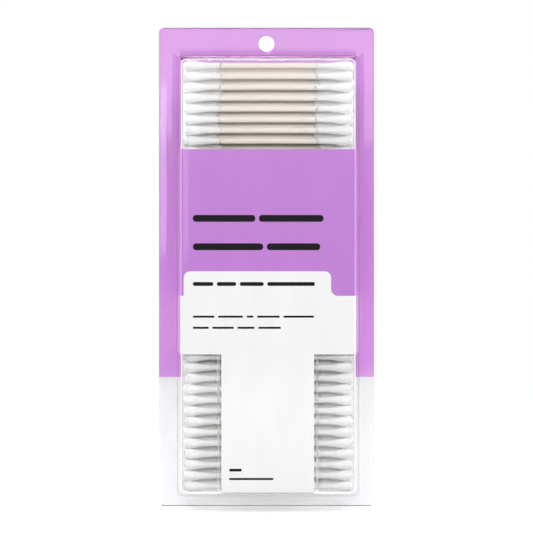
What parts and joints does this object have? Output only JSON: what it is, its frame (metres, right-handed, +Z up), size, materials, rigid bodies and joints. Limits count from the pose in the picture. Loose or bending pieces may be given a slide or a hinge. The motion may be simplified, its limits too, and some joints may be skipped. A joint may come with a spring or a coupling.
{
  "type": "cotton swab hanging pack",
  "caption": "Hanging retail pack: a deep clear tray full of double-ended cotton swabs, sealed to a printed card with a round hang hole and a T-shaped label.",
  "frame": {"origin": "centre of the hang hole on the back plane of the card", "axes": "+Z up, along the card's height; +X to the right seen from the front; the front faces -Y and +Y is the back's outward normal"},
  "size_m": [0.0976, 0.0555, 0.2169],
  "materials": {
    "card_board": "satin coated white board",
    "purple_print": "glossy ink",
    "white_print": "satin ink",
    "clear_plastic": "clear glossy plastic sheet",
    "clear_film": "clear glossy film",
    "stick_paper": "smooth rolled paper",
    "cotton": "wound cotton fibre"
  },
  "bodies": {
    "root": {"backing_card": "card_board", "card_ink": "purple_print", "tray": "clear_plastic", "label_film": "clear_film", "label_purple_ink": "purple_print", "label_white_ink": "white_print", "sticks_layer_01": "stick_paper", "sticks_layer_02": "stick_paper", "sticks_layer_03": "stick_paper", "sticks_layer_04": "stick_paper", "sticks_layer_05": "stick_paper", "sticks_layer_06": "stick_paper", "sticks_layer_07": "stick_paper", "sticks_layer_08": "stick_paper", "sticks_layer_09": "stick_paper", "sticks_layer_10": "stick_paper", "sticks_layer_11": "stick_paper", "sticks_layer_12": "stick_paper", "sticks_layer_13": "stick_paper", "buds_layer_01": "cotton", "buds_layer_02": "cotton", "buds_layer_03": "cotton", "buds_layer_04": "cotton", "buds_layer_05": "cotton", "buds_layer_06": "cotton", "buds_layer_07": "cotton", "buds_layer_08": "cotton", "buds_layer_09": "cotton", "buds_layer_10": "cotton", "buds_layer_11": "cotton", "buds_layer_12": "cotton", "buds_layer_13": "cotton"}
  },
  "joints": []
}
